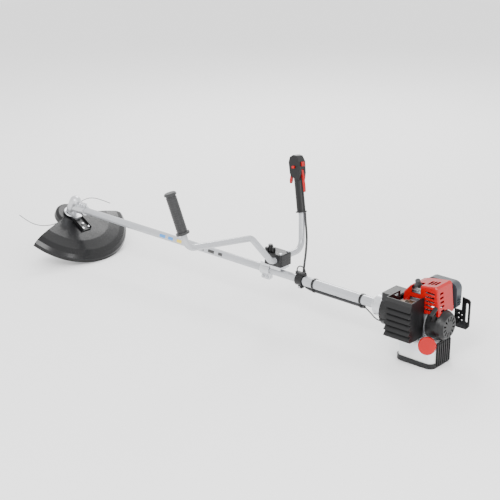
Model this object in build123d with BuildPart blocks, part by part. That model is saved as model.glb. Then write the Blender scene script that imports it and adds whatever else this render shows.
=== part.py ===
from build123d import *
import math
import os

# A petrol brush cutter with a bike handlebar. Millimetres, +Z up.
# X runs along the drive tube, from the cutting head (-X) to the engine (+X).
# +Y is the side of the throttle grip. The origin lies on the plane of the tank guard's
# foot, straight below the engine's cylinder and the drive tube's axis.

os.makedirs("parts", exist_ok=True)

# Driving dimensions: the drive tube and where things stand along it
axis_height = 140.0
tube_radius = 14.0
tube_wall = 1.6
tube_front = -1638.0
tube_rear = -170.0
sleeve_radius = 17.5
sleeve_front = -470.0
sleeve_rear = -178.0
shaft_radius = 3.5
shaft_front = -1649.0
shaft_rear = -150.0
bush_count = 5
bush_length = 14.0
run_gap = 0.05
seat_gap = 0.2

# The gear case and the line head
apex_x = -1675.0
head_tilt = 30.0
case_radius = 23.0
case_wall = 4.0
neck_radius = 19.0
neck_rear = -1598.0
gear_module = 1.75
pinion_teeth = 13
wheel_teeth = 19
tooth_face = 9.0
spindle_radius = 5.0
flange_radius = 29.0
flange_top = -27.0
flange_thickness = 5.0
head_radius = 60.0
head_top = -36.0
head_depth = 34.0
head_wall = 3.0
knob_radius = 30.0
line_radius = 1.5

# The shield
shield_top = -30.0
shield_wall = 3.0
shield_inner = 48.5
shield_ridge = 160.0
shield_rim = 246.0
shield_drop = 38.0
shield_arc = 146.0
bracket_plate = 4.0

# The handlebar and its clamp
bar_x = -583.0
bar_height = 55.0
bar_radius = 11.0
bar_wall = 1.8
bar_lean = 15.0
clamp_length = 76.0
clamp_width = 60.0
clamp_depth = 22.0
bracket_front = -662.0
bracket_length = 40.0
deck_thickness = 8.0
left_grip_radius = 16.5
left_grip_length = 141.0
left_grip_start = 199.0
throttle_start = 125.0
throttle_length = 205.0
throttle_neck = 128.0
grip_half_depth = 16.5
grip_half_width = 14.5
pod_half_depth = 25.0
pod_half_width = 17.0
shell_wall = 2.5

# The control cable
cable_radius = 4.0
sheath_radius = 5.0

# The engine, from the clutch to the starter
clutch_front = -178.0
clutch_back = -124.0
clutch_radius = 36.0
drum_radius = 29.5
drum_wall = 2.0
fan_back = -72.0
fan_radius = 56.0
fan_wall = 3.0
flywheel_radius = 46.0
crankcase_back = 48.0
crankcase_radius = 34.0
crank_radius = 8.0
crank_throw = 15.0
web_radius = 24.0
web_thickness = 9.0
rod_gap = 7.0
pin_radius = 6.0
rod_length = 58.0
bore_radius = 18.0
deck_height = 30.0
head_height = 92.0
fin_pitch = 7.0
fin_count = 9
starter_back = 108.0
starter_radius = 50.0
pulley_radius = 22.0
cap_radius = 28.5
cap_length = 16.0
tank_length = 136.0
tank_width = 110.0
tank_height = 78.0
tank_wall = 2.4
tank_x = 18.0
tank_y = -1.0
foot_depth = 6.0
guard_gap = 0.3


def write(piece, label):
    """Give the finished piece its label and write its own file."""
    piece.part.label = label
    export_step(piece.part, f"parts/{label}.step")


def across(x, y=0.0, z=0.0):
    """Plane square to the drive tube, facing the engine: its x is +Y and its y is up."""
    return Plane(origin=(x, y, axis_height + z), x_dir=(0, 1, 0), z_dir=(1, 0, 0))


def sideways(y, x=0.0, z=0.0):
    """Upright plane along the drive tube, facing -Y: its x is +X and its y is up."""
    return Plane(origin=(x, y, axis_height + z), x_dir=(1, 0, 0), z_dir=(0, -1, 0))


def level(z, x=0.0, y=0.0):
    """Level plane at a height above the drive tube's axis."""
    return Plane(origin=(x, y, axis_height + z))


tube_axis = Axis((0, 0, axis_height), (1, 0, 0))


def turned_on_tube(outline):
    """A piece turned about the drive tube's axis from (station, radius) points."""
    with BuildPart() as piece:
        with BuildSketch(sideways(0)):
            with BuildLine():
                Polyline(*outline, close=True)
            make_face()
        revolve(axis=tube_axis)
    return piece.part


def ring(plane, outer, inner, length):
    """A plain ring that stands on a plane."""
    with BuildPart() as piece:
        with BuildSketch(plane):
            Circle(outer)
            if inner > 0:
                Circle(inner, mode=Mode.SUBTRACT)
        extrude(amount=length)
    return piece.part


def slab(plane, width, height, length, corner=0.0):
    """A block that stands on a plane, with its long corners rounded if asked."""
    with BuildPart() as piece:
        with BuildSketch(plane):
            if corner > 0:
                RectangleRounded(width, height, corner)
            else:
                Rectangle(width, height)
        extrude(amount=length)
    return piece.part


def turned(plane, degrees):
    """The same plane with its x direction turned about its own normal."""
    angle = math.radians(degrees)
    return Plane(origin=plane.origin, z_dir=plane.z_dir,
                 x_dir=plane.x_dir * math.cos(angle) + plane.y_dir * math.sin(angle))


# Frame of the gear case and head: the spindle leans forward and down from the tube
tilt = math.radians(head_tilt)
apex = Vector(apex_x, 0, axis_height)
spindle_up = Vector(math.sin(tilt), 0, math.cos(tilt))
rear_down = Vector(math.cos(tilt), 0, -math.sin(tilt))
side = Vector(0, 1, 0)
spindle_axis = Axis(apex, spindle_up)


def head_point(x, y, height):
    """A point from its place on the head: x to the rear, y to the side, height up the spindle."""
    return apex + rear_down * x + side * y + spindle_up * height


def head_level(height, x=0.0, y=0.0):
    """Plane square to the spindle at a height above the bevel gears' apex."""
    return Plane(origin=head_point(x, y, height), x_dir=rear_down, z_dir=spindle_up)


def head_section(turn=0.0):
    """Plane through the spindle: its x points away from the axis and its y up it."""
    angle = math.radians(turn)
    out = rear_down * math.cos(angle) + side * math.sin(angle)
    return Plane(origin=apex, x_dir=out, z_dir=out.cross(spindle_up))


def turned_on_spindle(outline):
    """A piece turned about the spindle from (radius, height) points."""
    with BuildPart() as piece:
        with BuildSketch(head_section()):
            with BuildLine():
                Polyline(*outline, close=True)
            make_face()
        revolve(axis=spindle_axis)
    return piece.part


# Drive tube, sleeve, shaft and the bearings along it
tube_bore = tube_radius - tube_wall
with BuildPart() as drive_tube:
    add(ring(across(tube_front), tube_radius, tube_bore, tube_rear - tube_front))
write(drive_tube, "drive_tube")

with BuildPart() as tube_sleeve:
    add(ring(across(sleeve_front), sleeve_radius, tube_radius, sleeve_rear - sleeve_front))
write(tube_sleeve, "tube_sleeve")

with BuildPart() as drive_shaft:
    add(ring(across(shaft_front), shaft_radius, 0, shaft_rear - shaft_front))
write(drive_shaft, "drive_shaft")

pinion_bearing_x = apex_x + 27.5
pinion_bearing_radius = 13.0
pinion_bearing_width = 8.0
pinion_hub = 5.0
upper_bearing_height = 25.5
upper_bearing_radius = 11.0
lower_bearing_height = -22.0
lower_bearing_radius = 13.0
spindle_bearing_width = 8.0
crank_bearing_radius = 17.5
crank_bearing_width = 10.0
crank_bearing_place = 24.0
drum_bearing_x = clutch_front + 12.0
drum_bearing_radius = 13.0
drum_bearing_width = 10.0
drum_hub = 6.0
with BuildPart() as shaft_bearings:
    bush_step = (tube_rear - tube_front) / (bush_count + 1)
    for number in range(bush_count):
        bush_x = tube_front + bush_step * (number + 1) - bush_length / 2
        add(ring(across(bush_x), tube_bore, shaft_radius + run_gap, bush_length))
    add(ring(across(pinion_bearing_x), pinion_bearing_radius, pinion_hub + run_gap,
             pinion_bearing_width))
    add(ring(head_level(upper_bearing_height), upper_bearing_radius, spindle_radius + run_gap,
             spindle_bearing_width))
    add(ring(head_level(lower_bearing_height), lower_bearing_radius, spindle_radius + run_gap,
             spindle_bearing_width))
    add(ring(across(drum_bearing_x), drum_bearing_radius, drum_hub + run_gap,
             drum_bearing_width))
    for crank_side in (-1, 1):
        bearing_x = crank_side * (crank_bearing_place + crank_bearing_width / 2)
        add(ring(across(bearing_x - crank_bearing_width / 2), crank_bearing_radius,
                 crank_radius + run_gap, crank_bearing_width))
write(shaft_bearings, "shaft_bearings")

# Bevel gears: straight teeth that taper to the apex, with the wheel above the pinion
shaft_angle = math.radians(90 - head_tilt)
pinion_cone = math.atan2(math.sin(shaft_angle),
                         wheel_teeth / pinion_teeth + math.cos(shaft_angle))
wheel_cone = shaft_angle - pinion_cone
cone_length = gear_module * pinion_teeth / 2 / math.sin(pinion_cone)
addendum = 0.75 * gear_module
dedendum = 1.15 * gear_module
tooth_share = 0.40


def bevel_gear_blank(plane, teeth, cone, turn, bore):
    """A bevel gear with its apex at the plane's origin: a cone frustum and one loft per tooth."""
    high = cone_length * math.cos(cone)
    low = (cone_length - tooth_face) * math.cos(cone)
    root_slope = math.tan(cone - math.atan(dedendum / cone_length))
    tip_slope = math.tan(cone + math.atan(addendum / cone_length))
    half_root = math.tan(cone) * math.pi / teeth * tooth_share * 1.25
    half_tip = math.tan(cone) * math.pi / teeth * tooth_share * 0.6
    with BuildPart() as gear:
        with BuildSketch(plane.offset(low)):
            Circle(low * root_slope)
        with BuildSketch(plane.offset(high)):
            Circle(high * root_slope)
        loft()
        for number in range(teeth):
            spoke = turned(plane, turn + 360 / teeth * number)
            for height in (low, high):
                inner = height * root_slope * 0.94
                outer = height * tip_slope
                with BuildSketch(spoke.offset(height)):
                    with BuildLine():
                        Polyline((inner, -height * half_root), (outer, -height * half_tip),
                                 (outer, height * half_tip), (inner, height * half_root),
                                 close=True)
                    make_face()
            loft(ruled=True)
        with BuildSketch(plane.offset(low)):
            Circle(bore)
        extrude(amount=high - low, mode=Mode.SUBTRACT)
    return gear.part


pinion_plane = Plane(origin=apex, x_dir=(0, 0, 1), z_dir=(1, 0, 0))
wheel_plane = Plane(origin=apex, x_dir=rear_down, z_dir=spindle_up)
pinion_back = cone_length * math.cos(pinion_cone)

with BuildPart() as bevel_pinion:
    add(bevel_gear_blank(pinion_plane, pinion_teeth, pinion_cone, 0, shaft_radius))
    add(ring(across(apex_x + pinion_back), pinion_hub, shaft_radius,
             pinion_bearing_x - apex_x - pinion_back + pinion_bearing_width))
write(bevel_pinion, "bevel_pinion")

with BuildPart() as bevel_wheel:
    add(bevel_gear_blank(wheel_plane, wheel_teeth, wheel_cone, 180 / wheel_teeth,
                         spindle_radius))
write(bevel_wheel, "bevel_wheel")

# Spindle: it carries the wheel on a shoulder, the flange at its foot and a thread below
spindle_top = upper_bearing_height + spindle_bearing_width + 1.0
collar_radius = 7.5
flange_bottom = flange_top - flange_thickness
head_bottom = head_top - head_depth
spindle_foot = head_bottom + 12.0
with BuildPart() as spindle:
    add(ring(head_level(spindle_foot), spindle_radius, 0, spindle_top - spindle_foot))
    collar_height = lower_bearing_height + spindle_bearing_width
    wheel_low = (cone_length - tooth_face) * math.cos(wheel_cone)
    add(ring(head_level(collar_height), collar_radius, spindle_radius,
             wheel_low - collar_height - run_gap))
write(spindle, "spindle")

with BuildPart() as head_flange:
    add(turned_on_spindle([(spindle_radius, flange_bottom), (flange_radius - 2, flange_bottom),
                           (flange_radius, flange_bottom + 2), (flange_radius, flange_top - 1.5),
                           (flange_radius - 2, flange_top), (12, flange_top),
                           (11, lower_bearing_height - 0.5),
                           (spindle_radius, lower_bearing_height - 0.5)]))
    with BuildSketch(head_level(flange_bottom)):
        with PolarLocations(19, 6, start_angle=30):
            Circle(3.2)
    extrude(amount=flange_thickness, mode=Mode.SUBTRACT)
write(head_flange, "head_flange")

# Gear case: a domed barrel on the spindle, a split neck on the tube and a foot pad
pad_bottom = shield_top + bracket_plate
pad_length = 34.0
neck_front = apex_x + 8.0
ear_front = neck_rear - 30.0
with BuildPart() as gear_case:
    dome_base = 31.0
    with BuildSketch(head_section()):
        with BuildLine():
            Line((0, -25), (case_radius - 3, -25))
            Line((case_radius - 3, -25), (case_radius - 1, -19))
            Line((case_radius - 1, -19), (case_radius, -8))
            Line((case_radius, -8), (case_radius, dome_base))
            RadiusArc((case_radius, dome_base), (0, dome_base + case_radius), -case_radius)
            Line((0, dome_base + case_radius), (0, -25))
        make_face()
    revolve(axis=spindle_axis)
    add(ring(across(neck_front), neck_radius, 0, neck_rear - neck_front))
    add(slab(across(ear_front, z=neck_radius + 3), 20, 14, neck_rear - ear_front - 2, 4))
    add(slab(head_level(pad_bottom, 31, 0), pad_length, 34, 12, 5))
    # hollows: bearing seats, gear space, tube socket and the slit between the clamp ears
    add(ring(head_level(upper_bearing_height), upper_bearing_radius, 0,
             spindle_bearing_width + 1.5), mode=Mode.SUBTRACT)
    add(ring(head_level(lower_bearing_height - 6), lower_bearing_radius, 0,
             spindle_bearing_width + 6), mode=Mode.SUBTRACT)
    gear_space = case_radius - case_wall
    gear_floor = lower_bearing_height + spindle_bearing_width + 1
    add(ring(head_level(gear_floor), gear_space, 0, upper_bearing_height - gear_floor),
        mode=Mode.SUBTRACT)
    add(ring(head_level(gear_floor - 2), lower_bearing_radius - 3, 0, 3), mode=Mode.SUBTRACT)
    add(ring(across(apex_x + 8), pinion_bearing_radius, 0, tube_front - apex_x - 9),
        mode=Mode.SUBTRACT)
    add(ring(across(tube_front - 1), tube_radius, 0, neck_rear - tube_front + 1),
        mode=Mode.SUBTRACT)
    add(slab(across(tube_front + 4, z=neck_radius), 2, 24, neck_rear - tube_front - 4),
        mode=Mode.SUBTRACT)
    for step in (8, 20):
        add(ring(sideways(12, ear_front + step, neck_radius + 4.5), 2.6, 0, 24),
            mode=Mode.SUBTRACT)
write(gear_case, "gear_case")

# Shield bracket: a plate under the gear case's foot pad, with a rib up its middle
plate_bottom = shield_top
with BuildPart() as shield_bracket:
    with BuildSketch(head_level(plate_bottom)):
        with Locations((66, 0)):
            RectangleRounded(88, 46, 6)
        Circle(flange_radius + 3, mode=Mode.SUBTRACT)
        with Locations((41, -12), (41, 12), (98, -14), (98, 14), (76, 0)):
            Circle(2.7, mode=Mode.SUBTRACT)
    extrude(amount=bracket_plate)
    for y in (-21.5, 21.5):
        add(slab(head_level(plate_bottom, 74, y), 64, 2.5, bracket_plate + 7))
write(shield_bracket, "shield_bracket")

# Debris shield: one skin, turned through part of a circle about the spindle
with BuildPart() as debris_shield:
    panel_top = shield_top
    panel_low = panel_top - shield_wall
    rim_low = panel_top - shield_drop
    with BuildSketch(head_section(-shield_arc / 2)):
        with BuildLine():
            Polyline((shield_inner, panel_top), (shield_ridge, panel_top),
                     (shield_rim - 38, panel_top - 4), (shield_rim - 16, panel_top - 13),
                     (shield_rim - 4, panel_top - 24), (shield_rim, rim_low),
                     (shield_rim - shield_wall, rim_low),
                     (shield_rim - shield_wall - 4, panel_top - 25),
                     (shield_rim - shield_wall - 15, panel_top - 16),
                     (shield_rim - 39, panel_low - 4), (shield_ridge, panel_low),
                     (shield_inner, panel_low), close=True)
        make_face()
    revolve(axis=spindle_axis, revolution_arc=shield_arc)
    with BuildSketch(head_level(panel_low)):
        with Locations((98, -14), (98, 14), (76, 0)):
            Circle(2.7)
    extrude(amount=shield_wall, mode=Mode.SUBTRACT)
write(debris_shield, "debris_shield")

# Line cutter: a steel blade on the inside of the shield's rim, at its left end
line_height = head_top - 14.0
cutter_turn = -shield_arc / 2 + 7
with BuildPart() as line_cutter:
    reach = shield_rim - shield_wall - seat_gap
    with BuildSketch(head_section(cutter_turn)):
        with BuildLine():
            Polyline((reach - 16, rim_low - 3), (reach, rim_low + 0.5), (reach - 3, rim_low + 10),
                     (reach - 16, rim_low + 10), close=True)
        make_face()
    extrude(amount=2)
write(line_cutter, "line_cutter")

# Trimmer head: a cup with two line eyes and a snapped-on lid, as one housing
eye_turns = (-76.0, 119.0)
with BuildPart() as trimmer_housing:
    add(turned_on_spindle([(spindle_radius, head_top), (head_radius - 10, head_top),
                           (head_radius - 3, head_top - 3), (head_radius, head_top - 9),
                           (head_radius, head_bottom + 6), (head_radius - 4, head_bottom),
                           (knob_radius + 1, head_bottom),
                           (knob_radius + 1, head_bottom + head_wall),
                           (head_radius - 6, head_bottom + head_wall),
                           (head_radius - head_wall, head_bottom + 8),
                           (head_radius - head_wall, head_top - 9),
                           (head_radius - 11, head_top - head_wall),
                           (9, head_top - head_wall), (9, head_top - 12),
                           (spindle_radius, head_top - 12)]))
    for turn in eye_turns:
        eye = head_section(turn)
        eye_plane = Plane(origin=eye.from_local_coords((head_radius - 6, line_height, 0)),
                          x_dir=eye.z_dir, z_dir=eye.x_dir)
        add(ring(eye_plane, 6, 0, 8))
        add(ring(eye_plane, line_radius + 3 * seat_gap, 0, 9), mode=Mode.SUBTRACT)
write(trimmer_housing, "trimmer_housing")

# Bump knob: it is tapped on the ground and slides up to feed line
with BuildPart() as bump_knob:
    knob_low = head_bottom - 20.0
    add(turned_on_spindle([(0, knob_low), (14, knob_low), (knob_radius - 6, knob_low + 4),
                           (knob_radius, knob_low + 12), (knob_radius, head_bottom + 5),
                           (knob_radius - 3, head_bottom + 5),
                           (knob_radius - 3, knob_low + 13), (0, knob_low + 13)]))
write(bump_knob, "bump_knob")


# Cords and tubes: straight runs joined by arcs as large as their runs allow
def corner_radii(points, share=0.45):
    """The radius of each corner's arc, from its shorter run and the angle it turns through."""
    spots = [Vector(*point) for point in points]
    radii = []
    for before, here, after in zip(spots, spots[1:], spots[2:]):
        half_turn = math.radians((here - before).get_angle(after - here)) / 2
        run = min((here - before).length, (after - here).length)
        radii.append(share * run / math.tan(half_turn))
    return radii


def cord(points, radius, name):
    """A round cord along its route, with the radii of its arcs printed."""
    radii = corner_radii(points)
    print(name, "radii", [round(value, 1) for value in radii])
    with BuildPart() as piece:
        with BuildLine() as route:
            FilletPolyline(*points, radius=radii)
        with BuildSketch(Plane(origin=route.line @ 0, z_dir=route.line % 0)):
            Circle(radius)
        sweep()
    length = route.wires()[0].length
    print(name, "length", round(length, 1), "volume share",
          round(piece.part.volume / (length * math.pi * radius ** 2), 4))
    return piece.part


left_line_route = [head_point(x, y, height) for x, y, height in (
    (14.2, -57.0, line_height), (18, -86, line_height), (15, -126, line_height + 0.5),
    (1, -163, line_height + 1.5), (-31, -191, line_height + 2.5),
    (-76, -203, line_height + 3))]
with BuildPart() as trimmer_line_left:
    add(cord([tuple(point) for point in left_line_route], line_radius, "left line"))
write(trimmer_line_left, "trimmer_line_left")

right_line_route = [head_point(x, y, height) for x, y, height in (
    (-28.5, 51.4, line_height), (-42, 77, line_height), (-54, 112, line_height + 0.5),
    (-56, 150, line_height + 1.5), (-36, 186, line_height + 2.5), (6, 217, line_height + 3))]
with BuildPart() as trimmer_line_right:
    add(cord([tuple(point) for point in right_line_route], line_radius, "right line"))
write(trimmer_line_right, "trimmer_line_right")

# Handlebar: one bent tube in a plane that leans towards the head
lean = math.radians(bar_lean)
bar_up = Vector(-math.sin(lean), 0, math.cos(lean))
bar_back = Vector(math.cos(lean), 0, math.sin(lean))
bar_centre = Vector(bar_x, 0, axis_height + bar_height)


def bar_point(across_bar, up_bar):
    """A point in the handlebar's plane: to the right, and up the plane, from the clamp."""
    return bar_centre + side * across_bar + bar_up * up_bar


left_foot = (-417.0, 149.0)
left_slope = (-0.14, 1.0)
hump = (-121.0, 104.0)
clamp_left = (-47.0, 0.0)
clamp_right = (118.0, 0.0)
right_bend = (152.0, 112.0)
right_slope = (0.15, 1.0)
left_end = left_grip_start + left_grip_length - 4.0
right_end = throttle_start + throttle_neck


def on_left(up_bar):
    """The point of the left grip's axis at a height up the handlebar's plane."""
    return bar_point(left_foot[0] + left_slope[0] * (up_bar - left_foot[1]), up_bar)


def on_right(up_bar):
    """The point of the throttle grip's axis at a height up the handlebar's plane."""
    return bar_point(right_bend[0] + right_slope[0] * (up_bar - right_bend[1]), up_bar)


bar_route = [on_left(left_end), bar_point(*left_foot), bar_point(*hump),
             bar_point(*clamp_left), bar_point(*clamp_right), bar_point(*right_bend),
             on_right(right_end)]
bar_bends = [38.0, 30.0, 26.0, 46.0, 90.0]
with BuildPart() as handlebar:
    with BuildLine() as bar_line:
        FilletPolyline(*bar_route, radius=bar_bends)
    with BuildSketch(Plane(origin=bar_line.line @ 0, z_dir=bar_line.line % 0)):
        Circle(bar_radius)
        Circle(bar_radius - bar_wall, mode=Mode.SUBTRACT)
    sweep()
write(handlebar, "handlebar")

# Left grip: ribbed rubber with a flange at each end
grip_up = (on_left(left_end) - on_left(left_grip_start)).normalized()
left_grip_plane = Plane(origin=on_left(left_grip_start), x_dir=bar_back, z_dir=grip_up)
with BuildPart() as left_grip:
    add(ring(left_grip_plane, left_grip_radius, 0, left_grip_length))
    rib_count = 15
    rib_pitch = (left_grip_length - 24) / rib_count
    for number in range(rib_count):
        add(ring(left_grip_plane.offset(12 + rib_pitch * number), left_grip_radius + 1.2, 0,
                 rib_pitch * 0.55))
    add(ring(left_grip_plane, left_grip_radius + 6, 0, 6))
    add(ring(left_grip_plane.offset(left_grip_length - 8), left_grip_radius + 4, 0, 8))
    chamfer(left_grip.faces().sort_by(Axis(on_left(0), grip_up))[-1].edges(), 3)
    add(ring(left_grip_plane, bar_radius, 0, left_end - left_grip_start + 2),
        mode=Mode.SUBTRACT)
write(left_grip, "left_grip")

# Throttle grip: two shells round the bar's end, with a pod that holds the controls
throttle_up = (on_right(right_end) - on_right(throttle_start)).normalized()
throttle_plane = Plane(origin=on_right(throttle_start), x_dir=bar_back * -1, z_dir=throttle_up)
bore_depth = (on_right(right_end) - on_right(throttle_start)).length + 1.0
pod_low = 128.0
pod_high = throttle_length
trigger_pivot = (9.0, 150.0)
lockout_pivot = (-13.0, 152.0)
lever_width = 9.0
pivot_radius = 2.0


def throttle_side(depth=0.0):
    """Plane along the throttle grip: its x is forward and its y runs up the grip."""
    return Plane(origin=throttle_plane.from_local_coords((0, depth, 0)),
                 x_dir=throttle_plane.x_dir, z_dir=throttle_plane.y_dir * -1)


button_width = 12.0
button_height = 9.0
button_inset = 1.6
button_base = (2, pod_half_width - button_inset, 162)
button_plane = Plane(origin=throttle_plane.from_local_coords(button_base),
                     x_dir=throttle_plane.x_dir, z_dir=throttle_plane.y_dir)
with BuildPart() as throttle_housing:
    with BuildSketch(throttle_plane):
        Ellipse(grip_half_depth + 4, grip_half_width + 4)
    extrude(amount=5)
    with BuildSketch(throttle_plane.offset(5)):
        Ellipse(grip_half_depth, grip_half_width)
    with BuildSketch(throttle_plane.offset(pod_low)):
        Ellipse(grip_half_depth - 0.5, grip_half_width)
    loft()
    with BuildSketch(throttle_side(-pod_half_width)):
        with BuildLine():
            Polyline((-grip_half_depth, pod_low - 14), (-pod_half_depth + 2, pod_low + 10),
                     (-pod_half_depth, pod_high - 26), (-pod_half_depth + 10, pod_high - 5),
                     (0, pod_high), (pod_half_depth - 9, pod_high - 6),
                     (pod_half_depth - 1, pod_high - 24), (pod_half_depth - 2, pod_low + 12),
                     (grip_half_depth, pod_low), close=True)
        make_face()
    extrude(amount=-2 * pod_half_width)
    # hollows: the bar's bore, the pod's inside and the levers' slots
    add(ring(throttle_plane, bar_radius + run_gap, 0, bore_depth), mode=Mode.SUBTRACT)
    with BuildSketch(throttle_side(-pod_half_width + shell_wall)):
        with BuildLine():
            Polyline((-pod_half_depth + 4, pod_low + 8), (-pod_half_depth + 4, pod_high - 26),
                     (-pod_half_depth + 12, pod_high - 8), (pod_half_depth - 12, pod_high - 9),
                     (pod_half_depth - 5, pod_high - 24), (pod_half_depth - 5, pod_low + 8),
                     close=True)
        make_face()
    extrude(amount=-2 * (pod_half_width - shell_wall), mode=Mode.SUBTRACT)
    slot_width = lever_width + 2
    add(slab(throttle_plane.offset(pod_low - 14), 80, slot_width, 38), mode=Mode.SUBTRACT)
    add(slab(throttle_plane.offset(pod_low - 14), 2 * grip_half_depth - 2, slot_width + 2, 14))
    add(ring(throttle_plane, bar_radius + run_gap, 0, bore_depth), mode=Mode.SUBTRACT)
    groove = Plane(origin=throttle_plane.from_local_coords((-grip_half_depth - 10, 0, 66)),
                   x_dir=throttle_plane.x_dir, z_dir=throttle_plane.z_dir)
    add(slab(groove, 2 * 13.5, slot_width, 50), mode=Mode.SUBTRACT)
    add(slab(button_plane.offset(-3), button_width + 2 * seat_gap, button_height + 2 * seat_gap,
             9, 3.2), mode=Mode.SUBTRACT)
write(throttle_housing, "throttle_housing")


def lever(outline, width, pivot, name_plane):
    """A flat lever cut from a side outline, with a pivot hole through it."""
    with BuildPart() as piece:
        with BuildSketch(name_plane(-width / 2)):
            with BuildLine():
                Polyline(*outline, close=True)
            make_face()
            with Locations(pivot):
                Circle(pivot_radius + run_gap, mode=Mode.SUBTRACT)
        extrude(amount=-width)
    return piece.part


with BuildPart() as throttle_trigger:
    add(lever([(3.5, 145), (3.5, 155), (13, 157), (20, 151), (30, 139), (38, 116), (38, 107),
               (34, 105), (30, 112), (25, 128), (20, 138), (13, 145)],
              lever_width, trigger_pivot, throttle_side))
write(throttle_trigger, "throttle_trigger")

with BuildPart() as lockout_lever:
    add(lever([(-9, 147), (-9, 157), (-16, 158), (-23.5, 148), (-26, 122), (-27, 90), (-26, 74),
               (-24, 71), (-22, 76), (-21.5, 110), (-18, 140)],
              lever_width, lockout_pivot, throttle_side))
write(lockout_lever, "lockout_lever")

switch_width = 16.0
with BuildPart() as stop_switch:
    switch_plane = Plane(origin=throttle_plane.from_local_coords((-pod_half_depth - 0.4, 0, 170)),
                         x_dir=throttle_plane.y_dir, z_dir=throttle_plane.x_dir * -1)
    add(slab(switch_plane, switch_width, 16, 3, 2))
    for step in (-5, 0, 5):
        ridge = Plane(origin=switch_plane.from_local_coords((0, step, 0)),
                      x_dir=switch_plane.x_dir, z_dir=switch_plane.z_dir)
        add(slab(ridge, switch_width - 3, 1.6, 4))
write(stop_switch, "stop_switch")

with BuildPart() as start_button:
    add(slab(button_plane, button_width, button_height, 6.5, 3))
write(start_button, "start_button")

# Handlebar clamp: a bracket round the tube, two blocks round the bar, a screw with a knob
clamp_front = bar_x - 49.0
clamp_middle = clamp_front + clamp_length / 2
split_gap = 0.2
block_bottom = bar_height - clamp_depth
stud_x = clamp_front + 15.0
stud_y = -12.0
stud_radius = 4.0
bolt_x = clamp_front + clamp_length - 9.0
bolt_radius = 3.0


def clamp_block(bottom, top):
    """One block of the clamp with its half of the bar's groove, the stud's and bolts' holes."""
    with BuildPart() as block:
        with BuildSketch(level(bottom, clamp_middle)):
            RectangleRounded(clamp_length, clamp_width, 6)
        extrude(amount=top - bottom)
        add(ring(sideways(clamp_width, bar_x, bar_height), bar_radius + run_gap, 0,
                 2 * clamp_width), mode=Mode.SUBTRACT)
        add(ring(level(bottom - 1, stud_x, stud_y), stud_radius + run_gap, 0,
                 top - bottom + 2), mode=Mode.SUBTRACT)
        for y in (-20, 20):
            add(ring(level(bottom - 1, bolt_x, y), bolt_radius, 0, top - bottom + 2),
                mode=Mode.SUBTRACT)
    return block.part


with BuildPart() as clamp_lower:
    add(clamp_block(block_bottom, bar_height - split_gap))
write(clamp_lower, "clamp_lower")

with BuildPart() as clamp_upper:
    add(clamp_block(bar_height + split_gap, bar_height + clamp_depth))
    chamfer(clamp_upper.faces().sort_by(Axis.Z)[-1].outer_wire().edges(), 3)
write(clamp_upper, "clamp_upper")

# The knob screws into the deck, so its stud runs down through both blocks
deck_bottom = block_bottom - deck_thickness
with BuildPart() as clamp_knob:
    knob_seat = bar_height + clamp_depth + 0.3
    add(ring(level(deck_bottom + 2, stud_x, stud_y), stud_radius, 0, knob_seat - deck_bottom))
    with BuildSketch(level(knob_seat, stud_x, stud_y)):
        Circle(9)
        with PolarLocations(13, 3):
            Circle(7.5)
        with PolarLocations(6, 3):
            Rectangle(12, 11)
    extrude(amount=16)
    chamfer(clamp_knob.faces().sort_by(Axis.Z)[-1].edges(), 2)
    add(ring(level(knob_seat + 16, stud_x, stud_y), 8, 0, 8))
write(clamp_knob, "clamp_knob")

with BuildPart() as bar_bracket:
    bracket_rear = bracket_front + bracket_length
    deck_front = bracket_front + 4
    deck_rear = clamp_front + clamp_length
    add(ring(across(bracket_front), tube_radius + 6, 0, bracket_length))
    add(slab(level(0, (bracket_front + bracket_rear) / 2), bracket_length, 24, deck_bottom + 2))
    add(slab(level(deck_bottom, (deck_front + deck_rear) / 2), deck_rear - deck_front, 40,
             deck_thickness, 5))
    add(slab(level(-tube_radius - 20, (bracket_front + bracket_rear) / 2), bracket_length - 6,
             20, 16))
    add(ring(across(bracket_front - 1), tube_radius, 0, bracket_length + 2), mode=Mode.SUBTRACT)
    add(slab(level(-tube_radius - 21, (bracket_front + bracket_rear) / 2), bracket_length + 2,
             2.4, 24), mode=Mode.SUBTRACT)
    for x in (bracket_front + 11, bracket_rear - 11):
        add(ring(sideways(12, x, -tube_radius - 12), bolt_radius, 0, 24), mode=Mode.SUBTRACT)
    add(ring(level(deck_bottom - 1, stud_x, stud_y), stud_radius + run_gap, 0,
             deck_thickness + 2), mode=Mode.SUBTRACT)
    for y in (-20 + 6, 20 - 6):
        add(slab(level(tube_radius, (bracket_rear + deck_rear) / 2 - 4, y),
                 deck_rear - bracket_rear - 20, 4, deck_bottom - tube_radius + 1))
write(bar_bracket, "bar_bracket")

# Harness hanger: a split ring on the tube with a wire eye over its lug
hanger_x = -489.0
hanger_length = 28.0
hanger_radius = tube_radius + 7.0
lug_length = 44.0
wire_radius = 2.2
eye_half = 18.0
eye_height = 31.0
with BuildPart() as hanger_block:
    add(ring(across(hanger_x - hanger_length / 2), hanger_radius, 0, hanger_length))
    add(slab(level(sleeve_radius + 0.5, hanger_x), lug_length, 13, 9, 3))
    add(slab(level(-hanger_radius - 9, hanger_x), 16, 14, 14))
    add(ring(across(hanger_x - hanger_length), tube_radius, 0, 2 * hanger_length),
        mode=Mode.SUBTRACT)
    add(slab(level(-hanger_radius - 10, hanger_x), hanger_length + 2, 2, 20),
        mode=Mode.SUBTRACT)
    add(ring(sideways(10, hanger_x, -hanger_radius - 4), 2.5, 0, 20), mode=Mode.SUBTRACT)
    for x in (-eye_half, eye_half):
        add(ring(level(sleeve_radius + 1.3, hanger_x + x), wire_radius, 0, 12),
            mode=Mode.SUBTRACT)
write(hanger_block, "hanger_block")

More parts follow.
